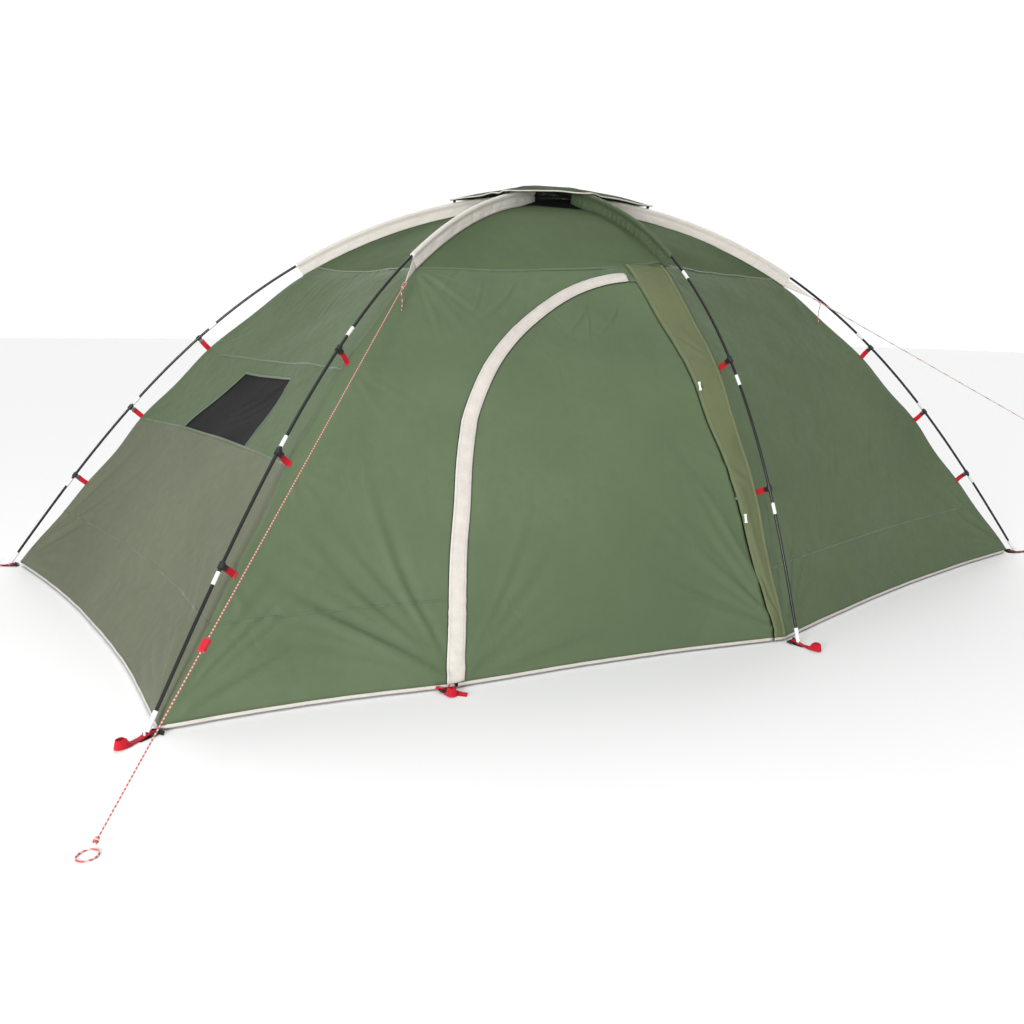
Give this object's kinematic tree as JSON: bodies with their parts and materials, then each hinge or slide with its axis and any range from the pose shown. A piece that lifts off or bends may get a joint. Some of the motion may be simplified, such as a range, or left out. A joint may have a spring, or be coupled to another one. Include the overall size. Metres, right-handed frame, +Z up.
{
  "type": "dome tent",
  "caption": "Low dome tent hung from crossing bent poles, with a curved zipped side door, a small end window, a rain cap, guy lines and peg loops.",
  "frame": {"origin": "on the ground, under the crossing of the poles", "axes": "+X towards the right feet along the tent, -Y towards the door, +Z up"},
  "size_m": [4.6787, 3.2936, 1.4985],
  "materials": {
    "fly_green": "woven, low sheen",
    "strip_green": "woven, low sheen",
    "cap_green": "woven, low sheen",
    "cream_cloth": "woven, low sheen",
    "window_cloth": "woven, low sheen",
    "mesh_black": "woven, low sheen",
    "floor_sheet": "woven polyethylene",
    "red_webbing": "woven, low sheen",
    "black_webbing": "woven, low sheen",
    "guy_cord": "woven, low sheen",
    "pole_black": "satin wrapped glass fibre",
    "ferrule": "bright",
    "white_plastic": "satin",
    "black_plastic": "satin",
    "zip_metal": "satin",
    "tensioner_red": "moulded",
    "toggle_white": "moulded"
  },
  "bodies": {
    "tent": {"groundsheet": "floor_sheet", "crown_panel": "fly_green", "left_panel": "fly_green", "front_left_panel": "fly_green", "front_right_panel": "fly_green", "right_panel": "fly_green", "rear_right_panel": "fly_green", "rear_left_panel": "fly_green", "window_pane": "window_cloth", "vent_mesh": "mesh_black", "rain_cap": "cap_green", "cap_ties": "black_webbing", "hem_binding": "cream_cloth", "door_side_flap": "strip_green", "door_zip": "mesh_black", "sleeve_rear_left": "cream_cloth", "sleeve_front_left": "cream_cloth", "sleeve_front_middle": "fly_green", "sleeve_front_right": "cream_cloth", "sleeve_rear_right": "cream_cloth", "sleeve_rear_middle": "cream_cloth", "pole_a": "pole_black", "pole_b": "pole_black", "pole_c": "pole_black", "pole_ferrules": "ferrule", "pole_tips": "white_plastic", "clip_hooks": "black_plastic", "clip_straps": "red_webbing", "foot_straps": "black_webbing", "foot_buckles": "black_plastic", "peg_loops": "red_webbing", "guy_tabs": "cream_cloth", "guy_rings": "red_webbing", "guy_line_left": "guy_cord", "guy_line_right": "guy_cord", "guy_end_left": "guy_cord", "guy_end_right": "guy_cord"},
    "door": {"door_panel": "fly_green", "door_storm_flap": "cream_cloth", "door_hem": "cream_cloth"},
    "slider": {"zip_slider": "zip_metal"},
    "pull": {"zip_pull": "red_webbing"},
    "upper_toggle": {"toggle_upper": "toggle_white", "toggle_loop_upper": "black_webbing"},
    "lower_toggle": {"toggle_lower": "toggle_white", "toggle_loop_lower": "black_webbing"},
    "left_tensioner": {"tensioner_left": "tensioner_red"},
    "right_tensioner": {"tensioner_right": "tensioner_red"}
  },
  "joints": [
    {"name": "door_swing", "type": "hinge", "parent": "tent", "child": "door", "pos_m": [-0.0911, -1.0397, 0.6211], "axis": [-0.0712, 0.4682, 0.8807], "range_deg": [0, 95]},
    {"name": "zip_slide", "type": "slide", "parent": "tent", "child": "slider", "axis": [0.2786, 0.4154, 0.8659], "range_m": [0, 0.28]},
    {"name": "pull_swing", "type": "hinge", "parent": "slider", "child": "pull", "pos_m": [-1.0802, -1.0551, 0.0739], "axis": [-0.8305, 0.557, 0], "range_deg": [-60, 12]},
    {"name": "upper_toggle_swing", "type": "hinge", "parent": "tent", "child": "upper_toggle", "pos_m": [-0.08696, -0.95581, 0.78272], "axis": [-0.0703, 0.5286, 0.8459], "range_deg": [0, 80]},
    {"name": "lower_toggle_swing", "type": "hinge", "parent": "tent", "child": "lower_toggle", "pos_m": [-0.05491, -1.15532, 0.37668], "axis": [-0.0723, 0.3713, 0.9257], "range_deg": [0, 80]},
    {"name": "left_tensioner_slide", "type": "slide", "parent": "tent", "child": "left_tensioner", "axis": [-0.6339, -0.5039, -0.5868], "range_m": [-0.3, 0.3]},
    {"name": "right_tensioner_slide", "type": "slide", "parent": "tent", "child": "right_tensioner", "axis": [0.6743, -0.5674, -0.4727], "range_m": [-0.3, 0.3]}
  ]
}
